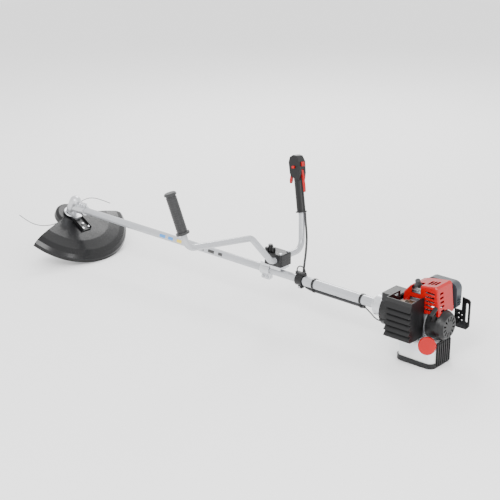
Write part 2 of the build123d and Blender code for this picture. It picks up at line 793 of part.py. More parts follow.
with BuildPart() as hanger_eye:
    eye_foot = sleeve_radius + 1.5
    with BuildLine() as eye_line:
        Line((hanger_x - eye_half, 0, axis_height + eye_foot),
             (hanger_x - eye_half, 0, axis_height + eye_height))
        ThreePointArc((hanger_x - eye_half, 0, axis_height + eye_height),
                      (hanger_x, 0, axis_height + eye_height + eye_half),
                      (hanger_x + eye_half, 0, axis_height + eye_height))
        Line((hanger_x + eye_half, 0, axis_height + eye_height),
             (hanger_x + eye_half, 0, axis_height + eye_foot))
    with BuildSketch(level(eye_foot, hanger_x - eye_half)):
        Circle(wire_radius)
    sweep()
write(hanger_eye, "hanger_eye")

# Bolts: socket screws of the clamp, hanger, gear case and shield, as one group
bolt_head = 5.2
with BuildPart() as frame_bolts:
    for y in (-20, 20):
        add(ring(level(block_bottom, bolt_x, y), bolt_radius, 0, 2 * clamp_depth))
        add(ring(level(bar_height + clamp_depth, bolt_x, y), bolt_head, 0, 5))
    for x in (bracket_front + 11, bracket_rear - 11):
        add(ring(sideways(10, x, -tube_radius - 12), bolt_radius, 0, 20))
        add(ring(sideways(-10, x, -tube_radius - 12), bolt_head, 0, 5))
    add(ring(sideways(7, hanger_x, -hanger_radius - 4), 2.5, 0, 14))
    add(ring(sideways(-7, hanger_x, -hanger_radius - 4), 4.4, 0, 4))
    for step in (8, 20):
        add(ring(sideways(10, ear_front + step, neck_radius + 4.5), 2.6, 0, 20))
        add(ring(sideways(-10, ear_front + step, neck_radius + 4.5), 4.6, 0, 4.5))
    for y in (-12, 12):
        add(ring(head_level(plate_bottom, 41, y), 2.7, 0, bracket_plate))
        add(ring(head_level(plate_bottom - 3, 41, y), 4.8, 0, 3))
    for x, y in ((98, -14), (98, 14), (76, 0)):
        add(ring(head_level(panel_low - 2, x, y), 2.7, 0, shield_wall + bracket_plate + 2))
        add(ring(head_level(plate_bottom + bracket_plate, x, y), 4.8, 0, 3.5))
write(frame_bolts, "frame_bolts")

# Control cable: a bow from the throttle grip to the hanger, then a run to the engine
cable_exit = throttle_plane.from_local_coords((-grip_half_depth - 0.5, 0, -0.8))
bow_route = [tuple(cable_exit), (-593, 150, 290), (-579, 138, 263), (-560, 117, 242),
             (-538, 88, 229), (-517, 59, 214), (-505, 39, 193), (-502, 31, 170),
             (-502, 29, 150)]
with BuildPart() as cable_bow:
    add(cord(bow_route, cable_radius, "cable bow"))
write(cable_bow, "cable_bow")

run_height = axis_height - sleeve_radius - sheath_radius - 0.6
run_side = -4.0
run_route = [(-502, 29, 149), (-500, 28, 131), (-489, 20, 115.5), (-470, 6, run_height - 1.5),
             (-446, run_side, run_height), (-390, run_side - 0.3, run_height),
             (-332, run_side, run_height), (-272, run_side - 0.3, run_height),
             (-214, run_side, run_height), (-180, -16, 108), (-152, -37, 109),
             (-126, -53, 112), (-100, -55, 116)]
with BuildPart() as cable_run:
    add(cord(run_route[:9], sheath_radius, "cable run"))
    add(cord(run_route[8:], 2.2, "inner cable"))
write(cable_run, "cable_run")

with BuildPart() as cable_bands:
    for band_x in (-432.0, -232.0):
        with BuildSketch(across(band_x)):
            Circle(sleeve_radius + 2)
            with Locations((run_side, run_height - axis_height)):
                Circle(sheath_radius + 2)
            Circle(sleeve_radius, mode=Mode.SUBTRACT)
            with Locations((run_side, run_height - axis_height)):
                Circle(sheath_radius + 0.6, mode=Mode.SUBTRACT)
        extrude(amount=8)
write(cable_bands, "cable_bands")

# Clutch: a silver bell-mouthed housing, a drum on the drive line and two sprung shoes
bearing_end = drum_bearing_x + drum_bearing_width
drum_room = clutch_radius - 3
with BuildPart() as clutch_housing:
    add(turned_on_tube([(clutch_front, tube_radius), (clutch_front, sleeve_radius + 3),
                        (clutch_front + 6, sleeve_radius + 5),
                        (clutch_front + 12, clutch_radius - 2),
                        (clutch_front + 15, clutch_radius), (clutch_back - 6, clutch_radius),
                        (clutch_back - 6, clutch_radius + 6), (clutch_back, clutch_radius + 6),
                        (clutch_back, drum_room), (bearing_end + 3, drum_room),
                        (bearing_end + 3, drum_bearing_radius - 2),
                        (bearing_end, drum_bearing_radius - 2),
                        (bearing_end, drum_bearing_radius),
                        (drum_bearing_x, drum_bearing_radius),
                        (drum_bearing_x, drum_bearing_radius - 2),
                        (tube_rear, drum_bearing_radius - 2), (tube_rear, tube_radius)]))
    for turn in (45, 135, 225, 315):
        lug = math.radians(turn)
        lug_y = (clutch_radius + 3) * math.cos(lug)
        lug_z = (clutch_radius + 3) * math.sin(lug)
        add(ring(across(clutch_back - 12, lug_y, lug_z), 6, 0, 12))
        add(ring(across(clutch_back - 12, 0, 0), drum_room, 0, 12), mode=Mode.SUBTRACT)
write(clutch_housing, "clutch_housing")

drum_front = bearing_end + 4.0
drum_back = clutch_back - 4.0
with BuildPart() as clutch_drum:
    add(turned_on_tube([(drum_bearing_x - 1, shaft_radius), (drum_bearing_x - 1, drum_hub),
                        (drum_front, drum_hub), (drum_front, drum_radius),
                        (drum_back, drum_radius), (drum_back, drum_radius - drum_wall),
                        (drum_front + 2.5, drum_radius - drum_wall),
                        (drum_front + 2.5, shaft_radius)]))
write(clutch_drum, "clutch_drum")

flywheel_front = -112.0
flywheel_disc = 6.0
flywheel_back = -88.0
with BuildPart() as clutch_shoes:
    shoe_radius = drum_radius - drum_wall - 1.0
    for turn in (0, 180):
        with BuildSketch(across(drum_front + 5)):
            Circle(shoe_radius)
            Circle(12, mode=Mode.SUBTRACT)
            with Locations((0, shoe_radius * math.cos(math.radians(turn)))):
                Rectangle(3 * shoe_radius, 2 * shoe_radius - 3, mode=Mode.INTERSECT)
        extrude(amount=drum_back - drum_front - 6)
    for y in (-1, 1):
        for z in (-1, 1):
            add(ring(across(drum_back - 2, 8 * y, 17.5 * z), 3, 0,
                     flywheel_front - drum_back + 2))
write(clutch_shoes, "clutch_shoes")

with BuildPart() as flywheel:
    add(ring(across(flywheel_front), flywheel_radius, 0, flywheel_disc))
    add(ring(across(flywheel_front + flywheel_disc), 15, 0,
             flywheel_back - flywheel_front - flywheel_disc))
    blade_count = 14
    for number in range(blade_count):
        blade = across(flywheel_front + flywheel_disc)
        with BuildSketch(turned(blade, 360 / blade_count * number)):
            with Locations((31, 0)):
                Rectangle(24, 2.2, rotation=18)
        extrude(amount=13)
    add(ring(across(flywheel_front), crank_radius, 0, flywheel_back - flywheel_front),
        mode=Mode.SUBTRACT)
write(flywheel, "flywheel")

# Fan housing: a drum round the flywheel with a duct that rises to the cylinder
gland_y = -55.0
gland_z = -24.0
with BuildPart() as fan_housing:
    duct_half = 40.0
    duct_top = 66.0
    with BuildSketch(across(clutch_back)):
        Circle(fan_radius)
        with Locations((0, duct_top / 2)):
            Rectangle(2 * duct_half, duct_top)
    extrude(amount=fan_back - clutch_back)
    with BuildSketch(across(clutch_back + fan_wall)):
        Circle(fan_radius - fan_wall)
        with Locations((0, duct_top / 2)):
            Rectangle(2 * (duct_half - fan_wall), duct_top - 2 * fan_wall)
    extrude(amount=fan_back - clutch_back - 2 * fan_wall, mode=Mode.SUBTRACT)
    with BuildSketch(across(clutch_back)):
        Circle(drum_room)
        with PolarLocations(45, 24):
            SlotOverall(12, 4)
    extrude(amount=fan_wall, mode=Mode.SUBTRACT)
    with BuildSketch(across(fan_back - fan_wall)):
        Circle(crankcase_radius)
        with Locations((0, duct_top - 16)):
            Rectangle(2 * duct_half - 16, 20)
    extrude(amount=fan_wall, mode=Mode.SUBTRACT)
    add(ring(across(-99.5, gland_y, gland_z), 5, 0, 16))
write(fan_housing, "fan_housing")

# Crankcase: two halves that part at the cylinder's centre, each with its bearing seat
spigot_radius = bore_radius + 3.0
with BuildPart() as crankcase:
    flange_depth = 6.0
    for start, end in ((fan_back, 0.0), (0.0, crankcase_back)):
        outer_end = start if start < 0 else end - flange_depth
        with BuildPart(mode=Mode.PRIVATE) as half:
            add(ring(across(start), crankcase_radius, 0, end - start))
            add(ring(across(outer_end), crankcase_radius + 12, 0, flange_depth))
            inner = max(start, -30.0)
            outer = min(end, 30.0)
            add(slab(level(-44, (inner + outer) / 2), outer - inner, 52, 44 + deck_height, 3))
            chamber = web_radius + 2.0
            chamber_half = rod_gap + web_thickness + 1.5
            add(ring(across(-chamber_half), chamber, 0, 2 * chamber_half), mode=Mode.SUBTRACT)
            add(ring(across(-200), crank_radius + 1, 0, 400), mode=Mode.SUBTRACT)
            seat_from = crank_bearing_place
            for seat_x in (-seat_from - crank_bearing_width, seat_from):
                add(ring(across(seat_x), crank_bearing_radius, 0, crank_bearing_width),
                    mode=Mode.SUBTRACT)
            add(ring(level(deck_height - 9), spigot_radius + run_gap, 0, 20),
                mode=Mode.SUBTRACT)
            add(slab(level(deck_height), 62, 64, 20), mode=Mode.SUBTRACT)
        add(half.part)
write(crankcase, "crankcase")

# Crankshaft: two journals with full round webs, open between them where the rod's pin stands
with BuildPart() as crankshaft:
    add(ring(across(drum_front + 5), crank_radius, 0, -drum_front - 5 - rod_gap))
    add(ring(across(-rod_gap - web_thickness), web_radius, 0, web_thickness))
    add(ring(across(rod_gap), web_radius, 0, web_thickness))
    add(ring(across(rod_gap), crank_radius, 0, crankcase_back + 8 - rod_gap))
write(crankshaft, "crankshaft")

# Piston and connecting rod at the top of the stroke; the rod carries both of its pins
pin_height = crank_throw + rod_length
wrist_radius = 5.0
with BuildPart() as piston:
    add(ring(level(pin_height - 13), bore_radius, 0, 27))
    add(ring(level(pin_height - 14), bore_radius - 2.5, 0, 24), mode=Mode.SUBTRACT)
    for x in (-1, 1):
        add(slab(level(pin_height - 9, x * 10.5), 9, 16, 21))
    add(ring(across(-20, 0, pin_height), wrist_radius + run_gap, 0, 40), mode=Mode.SUBTRACT)
    for number in range(2):
        groove_height = pin_height + 6 + 3.5 * number
        with BuildSketch(level(groove_height)):
            Circle(bore_radius + 1)
            Circle(bore_radius - 0.8, mode=Mode.SUBTRACT)
        extrude(amount=1.5, mode=Mode.SUBTRACT)
write(piston, "piston")

with BuildPart() as connecting_rod:
    for height, eye_radius, pin in ((crank_throw, 10.5, pin_radius),
                                    (pin_height, 8.5, wrist_radius)):
        add(ring(across(-4.5, 0, height), eye_radius, 0, 9))
    add(slab(level(crank_throw + 8, 0), 5, 9, rod_length - 15))
    add(ring(across(-rod_gap + 0.5, 0, crank_throw), pin_radius, 0, 2 * rod_gap - 1))
    add(ring(across(-15, 0, pin_height), wrist_radius, 0, 30))
write(connecting_rod, "connecting_rod")

# Cylinder: a barrel with fins, a head, two ports and a hole for the slanted plug
plug_tilt = math.radians(30)
plug_plane = Plane(origin=(0, 0, axis_height + head_height - 4), x_dir=(1, 0, 0),
                   z_dir=(0, -math.sin(plug_tilt), math.cos(plug_tilt)))
plug_thread = 5.0
port_height = 61.0
port_left = -46.0
port_right = 44.0
with BuildPart() as cylinder:
    barrel = bore_radius + 5.0
    add(ring(level(deck_height - 5), spigot_radius, 0, 6))
    add(slab(level(deck_height), 56, 50, 6, 5))
    add(ring(level(deck_height + 5), barrel, 0, head_height - deck_height))
    for number in range(fin_count):
        with BuildSketch(level(deck_height + 14 + fin_pitch * number)):
            with Locations((0, 4)):
                RectangleRounded(62, 60, 8)
        extrude(amount=1.8)
    add(slab(level(head_height, 0, 4), 44, 44, 14, 10))
    add(slab(sideways(-18, 0, port_height), 34, 24, -port_left - 18, 3))
    add(slab(sideways(port_right, 0, port_height), 34, 24, port_right - 18, 3))
    add(ring(level(deck_height - 6), bore_radius + run_gap, 0, head_height - deck_height + 4),
        mode=Mode.SUBTRACT)
    for side_y in (-20, port_right + 1):
        add(ring(sideways(side_y, 0, port_height), 8, 0, 30), mode=Mode.SUBTRACT)
    add(ring(plug_plane, plug_thread, 0, 21), mode=Mode.SUBTRACT)
    add(ring(plug_plane.offset(20), 11, 0, 40), mode=Mode.SUBTRACT)
write(cylinder, "cylinder")

with BuildPart() as spark_plug:
    add(ring(plug_plane.offset(2), plug_thread, 0, 18))
    with BuildSketch(plug_plane.offset(20)):
        RegularPolygon(9.5, 6)
    extrude(amount=9)
    add(ring(plug_plane.offset(29), 5.2, 0, 20))
    add(ring(plug_plane.offset(49), 2.8, 0, 5))
write(spark_plug, "spark_plug")

with BuildPart() as plug_cap:
    add(ring(plug_plane.offset(29.5), 8.5, 0, 27))
    elbow = plug_plane.offset(48)
    add(ring(Plane(origin=elbow.origin, x_dir=(1, 0, 0), z_dir=elbow.y_dir * -1), 6.0, 0, 17))
    add(ring(plug_plane.offset(29), 5.3, 0, 20.2), mode=Mode.SUBTRACT)
    add(ring(plug_plane.offset(49), 2.9, 0, 5.2), mode=Mode.SUBTRACT)
write(plug_cap, "plug_cap")

# Muffler on the left of the engine and the louvred guard that wraps it
muffler_from = (-44.0, 24.0)
muffler_side = (-100.0, -48.0)
muffler_rise = (-26.0, 70.0)
with BuildPart() as muffler:
    middle_x = sum(muffler_from) / 2
    middle_y = sum(muffler_side) / 2
    with BuildSketch(level(muffler_rise[0], middle_x, middle_y)):
        RectangleRounded(muffler_from[1] - muffler_from[0], muffler_side[1] - muffler_side[0],
                         14)
    extrude(amount=muffler_rise[1] - muffler_rise[0])
    chamfer(muffler.faces().sort_by(Axis.Z)[-1].edges(), 4)
    add(slab(sideways(port_left, 0, port_height), 34, 24, port_left - muffler_side[1] + 1, 3))
    for x in (-30, 12):
        add(ring(level(muffler_rise[1], x, middle_y - 8), 4.5, 0, 5))
    add(ring(level(muffler_rise[1] - 1, middle_x, middle_y + 8), 7, 0, 9))
    add(ring(level(muffler_rise[1] - 0.5, middle_x, middle_y + 8), 5, 0, 9),
        mode=Mode.SUBTRACT)
write(muffler, "muffler")

guard_front = -58.0
guard_rear = 36.0
guard_left = -122.0
guard_right = -38.0
guard_low = -42.0
guard_high = 92.0
guard_wall = 3.0
louvre_count = 6
louvre_depth = 12.0
with BuildPart() as muffler_guard:
    louvre_pitch = (guard_high - guard_low - 16) / louvre_count
    saw = []
    for number in range(louvre_count):
        top = guard_high - 14 - louvre_pitch * number
        saw += [(guard_left + louvre_depth, top), (guard_left, top - louvre_pitch + 5)]
        saw += [(guard_left + louvre_depth, top - louvre_pitch + 2)]
    inner_face = guard_left + louvre_depth + guard_wall
    with BuildSketch(across(guard_front)):
        with BuildLine():
            Polyline((inner_face, guard_high), (guard_left + louvre_depth, guard_high), *saw,
                     (guard_left + louvre_depth, guard_low), (inner_face, guard_low),
                     close=True)
        make_face()
    extrude(amount=guard_rear - guard_front)
    wall_width = guard_right - inner_face
    wall_middle = (guard_right + inner_face) / 2
    wall_height = guard_high - guard_low
    wall_rise = (guard_high + guard_low) / 2
    for start in (guard_front, guard_rear - guard_wall):
        add(slab(across(start, wall_middle - 1, wall_rise), wall_width + 2, wall_height,
                 guard_wall))
    for number in range(louvre_count):
        slot_top = guard_high - 14 - louvre_pitch * (number + 1) + 2
        add(slab(across(guard_front + 12, guard_left + louvre_depth, slot_top + 0.6), 20, 2.4,
                 guard_rear - guard_front - 24), mode=Mode.SUBTRACT)
    with BuildSketch(across(guard_front - 1)):
        with BuildLine():
            Polyline((guard_right - 34, guard_high - 5), (guard_right - 10, guard_high - 5),
                     (guard_right - 10, guard_high - 22), close=True)
        make_face()
        for number in range(5):
            with Locations((wall_middle, guard_high - 40 - 18 * number)):
                SlotOverall(48, 5)
    extrude(amount=6, mode=Mode.SUBTRACT)
write(muffler_guard, "muffler_guard")

# Cylinder cover: a pressed-up shell whose top slopes down to the front
cover_left = -34.0
cover_right = 52.0
cover_wall = 2.6
cover_outline = [(-50, 36), (-46, 90), (-24, 116), (-8, 121), (70, 133), (78, 128), (90, 36)]
with BuildPart() as cylinder_cover:
    with BuildSketch(sideways(cover_left)):
        with BuildLine():
            Polyline(*cover_outline, close=True)
        make_face()
    extrude(amount=cover_left - cover_right)
    side_faces = cylinder_cover.faces().filter_by(Axis.Y)
    rim_edges = side_faces.edges().sort_by(Axis.Z)[2:]
    chamfer(rim_edges, 3.2)
    with BuildSketch(sideways(cover_left + cover_wall)):
        with BuildLine():
            Polyline(*cover_outline, close=True)
        make_face()
        offset(amount=-cover_wall)
        with Locations((20, 38)):
            Rectangle(136, 12)
    extrude(amount=cover_left - cover_right + 2 * cover_wall, mode=Mode.SUBTRACT)
    add(slab(sideways(cover_left + 6, 0, 58), 46, 46, 12), mode=Mode.SUBTRACT)
    add(slab(sideways(cover_right + 6, 0, 60), 50, 50, 12), mode=Mode.SUBTRACT)
    add(slab(level(94, 0, cover_left), 34, 62, 60, 6), mode=Mode.SUBTRACT)
    add(ring(across(40), starter_radius + 1, 0, 60), mode=Mode.SUBTRACT)
    for number in range(5):
        slot_height = 52 + 14 * number
        add(slab(sideways(cover_left + 6, 52, slot_height), 34, 6.5, 12), mode=Mode.SUBTRACT)
        add(slab(across(70, cover_left + 22, slot_height + 1), 20, 6.5, 30),
            mode=Mode.SUBTRACT)
    for x in (30, 42, 54):
        add(slab(level(110, x, 4), 9, 34, 40, 2), mode=Mode.SUBTRACT)
write(cylinder_cover, "cylinder_cover")

# Carburettor on the right, with its throttle arm and primer, behind the air filter's cover
carb_half = 17.0
carb_back = 70.0
arm_x = -6.0
with BuildPart() as carburettor:
    add(slab(sideways(carb_back, 0, port_height), 2 * carb_half, 30, carb_back - port_right,
             3))
    add(ring(sideways(carb_back + 1, 0, port_height), 8, 0, carb_back - port_right + 2),
        mode=Mode.SUBTRACT)
    add(ring(level(port_height - 24, 0, 58), 9, 0, 12))
    add(ring(level(port_height - 25, 0, 58), 7.2, 0, 7), mode=Mode.SUBTRACT)
    add(ring(level(port_height + 10, arm_x, 56), 2.5 + run_gap, 0, 6), mode=Mode.SUBTRACT)
write(carburettor, "carburettor")

with BuildPart() as primer_bulb:
    add(ring(level(port_height - 31, 0, 58), 7.0, 0, 10))
    chamfer(primer_bulb.faces().sort_by(Axis.Z)[0].edges(), 3)
write(primer_bulb, "primer_bulb")

with BuildPart() as throttle_arm:
    add(ring(level(port_height + 10.5, arm_x, 56), 2.5, 0, 9))
    add(slab(level(port_height + 16, arm_x - 8, 56), 20, 6, 3, 2))
write(throttle_arm, "throttle_arm")

filter_front = -30.0
filter_rear = 84.0
filter_left = 72.0
filter_right = 110.0
filter_low = 22.0
filter_high = 116.0
with BuildPart() as air_filter_cover:
    with BuildSketch(sideways(filter_right)):
        with Locations(((filter_front + filter_rear) / 2, (filter_low + filter_high) / 2)):
            RectangleRounded(filter_rear - filter_front, filter_high - filter_low, 24)
    extrude(amount=filter_right - filter_left)
    chamfer(air_filter_cover.faces().sort_by(Axis.Y)[-1].edges(), 8)
    with BuildSketch(sideways(filter_right - 3)):
        with Locations(((filter_front + filter_rear) / 2, (filter_low + filter_high) / 2)):
            RectangleRounded(filter_rear - filter_front - 14, filter_high - filter_low - 14, 18)
    extrude(amount=filter_right - filter_left - 6, mode=Mode.SUBTRACT)
    add(ring(sideways(filter_left + 4, 0, port_height), 8, 0, 6), mode=Mode.SUBTRACT)
    for number in range(3):
        add(slab(across(60, (filter_left + filter_right) / 2, 40 + 9 * number), 30, 4, 30),
            mode=Mode.SUBTRACT)
write(air_filter_cover, "air_filter_cover")

# Rear guard on the right: an upright plate with a hand slot, on an arm from the crankcase
plate_right = 106.0
plate_thickness = 5.0
with BuildPart() as carb_guard:
    with BuildSketch(sideways(plate_right)):
        with BuildLine():
            Polyline((62, 18), (62, -34), (72, -44), (108, -44), (118, -32), (118, 54),
                     (112, 60), (88, 64), (88, 18), close=True)
        make_face()
        with Locations((107, 14)):
            SlotOverall(66, 9, rotation=90, mode=Mode.SUBTRACT)
        with Locations((78, 6), (90, 2), (78, -10), (90, -16)):
            Circle(3, mode=Mode.SUBTRACT)
    extrude(amount=plate_thickness)
    add(slab(sideways(plate_right - 4, 68, -20), 12, 26, plate_right - 4 - 20, 2))
    add(ring(across(40), starter_radius + 1, 0, 60), mode=Mode.SUBTRACT)
write(carb_guard, "carb_guard")

# Recoil starter: a cup with a post, the pulley on it, and a rope to a T-shaped grip
post_radius = 5.0
starter_wall = 3.0
pull_base = Vector(74, -44, axis_height + 32)
pull_top = Vector(86, -62, axis_height + 65)
pull_way = (pull_top - pull_base).normalized()
guide_length = 35.0
guide_gap = 4.0
guide_radius = 8.5
grip_bar_radius = 7.0
grip_bar_half = 17.0
rope_radius = 1.75
guide_low = pull_top - pull_way * (grip_bar_radius + guide_gap + guide_length)
guide_plane = Plane(origin=guide_low, x_dir=(1, 0, 0), z_dir=pull_way)
with BuildPart() as starter_housing:
    add(turned_on_tube([(crankcase_back, starter_radius), (starter_back - 22, starter_radius),
                        (starter_back - 10, starter_radius - 4),
                        (starter_back, starter_radius - 13), (starter_back, 0),
                        (crankcase_back + 14, 0), (crankcase_back + 14, post_radius),
                        (starter_back - starter_wall, post_radius),
                        (starter_back - starter_wall, starter_radius - 15),
                        (starter_back - 11, starter_radius - 7),
                        (starter_back - 23, starter_radius - starter_wall),
                        (crankcase_back, starter_radius - starter_wall)]))
    with BuildSketch(across(starter_back - 8)):
        with PolarLocations(26, 12, start_angle=15):
            SlotOverall(15, 4.5)
    extrude(amount=12, mode=Mode.SUBTRACT)
    add(ring(guide_plane, guide_radius, 0, guide_length))
    add(ring(across(crankcase_back), starter_radius - starter_wall - 6, 0, 40),
        mode=Mode.SUBTRACT)
    add(ring(across(crankcase_back + 14), post_radius, 0, 44))
    add(ring(guide_plane.offset(-6), rope_radius + seat_gap, 0, guide_length + 8),
        mode=Mode.SUBTRACT)
write(starter_housing, "starter_housing")

with BuildPart() as starter_pulley:
    add(turned_on_tube([(crankcase_back + 18, post_radius + run_gap),
                        (crankcase_back + 18, pulley_radius + 4),
                        (crankcase_back + 21, pulley_radius + 4),
                        (crankcase_back + 22, pulley_radius),
                        (crankcase_back + 28, pulley_radius),
                        (crankcase_back + 29, pulley_radius + 4),
                        (crankcase_back + 32, pulley_radius + 4),
                        (crankcase_back + 32, post_radius + run_gap)]))
write(starter_pulley, "starter_pulley")

grip_plane = Plane(origin=pull_top, x_dir=(1, 0, 0), z_dir=pull_way)
with BuildPart() as starter_grip:
    bar_plane = Plane(origin=grip_plane.from_local_coords((0, -grip_bar_half, 0)),
                      x_dir=grip_plane.x_dir, z_dir=grip_plane.y_dir)
    add(ring(bar_plane, grip_bar_radius, 0, 2 * grip_bar_half))
    fillet(starter_grip.edges(), 2.5)
    add(ring(grip_plane.offset(-grip_bar_radius - 2.5), 5, 0, 6))
    add(ring(grip_plane.offset(-grip_bar_radius - 3), rope_radius, 0, 6), mode=Mode.SUBTRACT)
write(starter_grip, "starter_grip")

with BuildPart() as starter_rope:
    add(ring(guide_plane.offset(1), rope_radius, 0, guide_length + guide_gap + 1.5))
write(starter_rope, "starter_rope")

# Fuel tank: a hollow bottle with a slanted neck, its cap, and the tray that it stands in
tank_low = -axis_height + foot_depth + guard_gap
cap_way = Vector(0.40, -0.80, 0.45).normalized()
neck_root = Vector(62, -44, axis_height - 66)
neck_length = 30.0
cap_plane = Plane(origin=neck_root + cap_way * neck_length, x_dir=(1, 0, 0), z_dir=cap_way)
mouth_radius = cap_radius - 7.0
with BuildPart() as fuel_tank:
    with BuildSketch(level(tank_low, tank_x, tank_y)):
        RectangleRounded(tank_length, tank_width, 22)
    extrude(amount=tank_height)
    fillet(fuel_tank.faces().sort_by(Axis.Z)[-1].edges(), 14)
    fillet(fuel_tank.faces().sort_by(Axis.Z)[0].edges(), 6)
    add(ring(Plane(origin=neck_root, x_dir=(1, 0, 0), z_dir=cap_way), mouth_radius + 4, 0,
             neck_length - 3))
    add(ring(Plane(origin=neck_root, x_dir=(1, 0, 0), z_dir=cap_way), mouth_radius, 0,
             neck_length + 8))
    with BuildSketch(level(tank_low + tank_wall, tank_x, tank_y)):
        RectangleRounded(tank_length - 2 * tank_wall, tank_width - 2 * tank_wall, 20)
    extrude(amount=tank_height - 16 - tank_wall, mode=Mode.SUBTRACT)
    add(ring(Plane(origin=neck_root, x_dir=(1, 0, 0), z_dir=cap_way), mouth_radius - 3, 0,
             neck_length + 9), mode=Mode.SUBTRACT)
write(fuel_tank, "fuel_tank")

with BuildPart() as fuel_cap:
    add(ring(cap_plane, cap_radius, 0, cap_length))
    chamfer(fuel_cap.faces().sort_by(Axis(cap_plane.origin, cap_way))[-1].edges(), 3)
    with BuildSketch(cap_plane):
        with PolarLocations(cap_radius + 0.6, 24):
            Circle(1.6)
    extrude(amount=cap_length - 3, mode=Mode.SUBTRACT)
    add(ring(cap_plane.offset(-1), mouth_radius + run_gap, 0, 12), mode=Mode.SUBTRACT)
write(fuel_cap, "fuel_cap")

tray_margin = 4.0
lip_height = 14.0
with BuildPart() as tank_guard:
    tray_length = tank_length + 2 * tray_margin
    tray_width = tank_width + 2 * tray_margin
    with BuildSketch(level(-axis_height, tank_x, tank_y)):
        RectangleRounded(tray_length, tray_width, 24)
    extrude(amount=foot_depth + lip_height)
    chamfer(tank_guard.faces().sort_by(Axis.Z)[0].edges(), 4)
    with BuildSketch(level(-axis_height + foot_depth, tank_x, tank_y)):
        RectangleRounded(tank_length + 2 * guard_gap, tank_width + 2 * guard_gap,
                         22 + guard_gap)
    extrude(amount=40, mode=Mode.SUBTRACT)
    back_x = tank_x + tank_length / 2 + guard_gap
    back_high = -starter_radius - 2
    back_low = -axis_height + foot_depth
    add(slab(across(back_x, tank_y + 4, (back_high + back_low) / 2), 76,
             back_high - back_low, tray_margin - guard_gap))
    for number in range(7):
        rib_y = tank_y + 4 + (number - 3) * 11.5
        add(slab(across(back_x + tray_margin - guard_gap, rib_y, (back_high + back_low) / 2),
                 4, back_high - back_low - 6, 3))
write(tank_guard, "tank_guard")
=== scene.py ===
import math

import bpy
import numpy as np
from bpy.props import FloatProperty, FloatVectorProperty, PointerProperty
from bpy.types import Operator, Panel, PropertyGroup
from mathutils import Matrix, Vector


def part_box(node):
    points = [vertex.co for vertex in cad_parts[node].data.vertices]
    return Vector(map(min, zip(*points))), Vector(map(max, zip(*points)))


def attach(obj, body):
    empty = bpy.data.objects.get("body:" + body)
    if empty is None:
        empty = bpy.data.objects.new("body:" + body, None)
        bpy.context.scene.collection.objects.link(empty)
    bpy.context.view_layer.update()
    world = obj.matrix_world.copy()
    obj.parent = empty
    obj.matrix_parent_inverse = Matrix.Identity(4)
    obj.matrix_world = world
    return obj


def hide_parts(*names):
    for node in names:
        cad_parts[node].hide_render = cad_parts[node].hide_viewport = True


bl_info = {
    "name": "Brush cutter finishes",
    "version": (1, 0, 0),
    "blender": (4, 5, 0),
    "location": "3D View > Sidebar > Brush cutter",
    "description": "Stage, cutting lines and finishes of a petrol brush cutter",
    "category": "Object",
}

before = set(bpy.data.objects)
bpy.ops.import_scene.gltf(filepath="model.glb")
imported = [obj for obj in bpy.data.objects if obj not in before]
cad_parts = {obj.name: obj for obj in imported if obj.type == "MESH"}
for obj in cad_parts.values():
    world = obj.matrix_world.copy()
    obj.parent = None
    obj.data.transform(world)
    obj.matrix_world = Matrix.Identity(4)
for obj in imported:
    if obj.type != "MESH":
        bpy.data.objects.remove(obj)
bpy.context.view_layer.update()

# The head's own frame: the spindle leans forward, and "rear" runs down to the shield's rim
TILT = math.radians(30.0)
APEX = np.array([-1.675, 0.0, 0.140])
SPINDLE_UP = np.array([math.sin(TILT), 0.0, math.cos(TILT)])
REAR_DOWN = np.array([math.cos(TILT), 0.0, -math.sin(TILT)])
SIDE = np.array([0.0, 1.0, 0.0])


def head_points(away, across, height):
    """Points from their place on the head: rearwards, to the side and up the spindle."""
    return (APEX + np.multiply.outer(away, REAR_DOWN) + np.multiply.outer(across, SIDE)
            + np.multiply.outer(height, SPINDLE_UP))


# ---------------------------------------------------------------- shader expressions
class Field:
    """A socket that Python's operators act on; each operation adds one Math node."""

    def __init__(self, finish, socket):
        self.finish = finish
        self.socket = socket

    def _math(self, operation, *values):
        inputs = {number: value for number, value in enumerate(values)}
        return self.finish.add("ShaderNodeMath", {"operation": operation}, inputs)

    def __add__(self, other):
        return self._math("ADD", self, other)

    def __radd__(self, other):
        return self._math("ADD", other, self)

    def __sub__(self, other):
        return self._math("SUBTRACT", self, other)

    def __rsub__(self, other):
        return self._math("SUBTRACT", other, self)

    def __mul__(self, other):
        return self._math("MULTIPLY", self, other)

    def __rmul__(self, other):
        return self._math("MULTIPLY", other, self)

    def __truediv__(self, other):
        return self._math("DIVIDE", self, other)

    def __abs__(self):
        return self._math("ABSOLUTE", self)

    def over(self, edge):
        """1 where the value is over an edge, else 0."""
        return self._math("GREATER_THAN", self, edge)

    def smooth(self, low, high):
        """0 below low and 1 above high, with a smooth step between."""
        return self.finish.add("ShaderNodeMapRange", {"interpolation_type": "SMOOTHSTEP"},
                               {"Value": self, "From Min": low, "From Max": high})


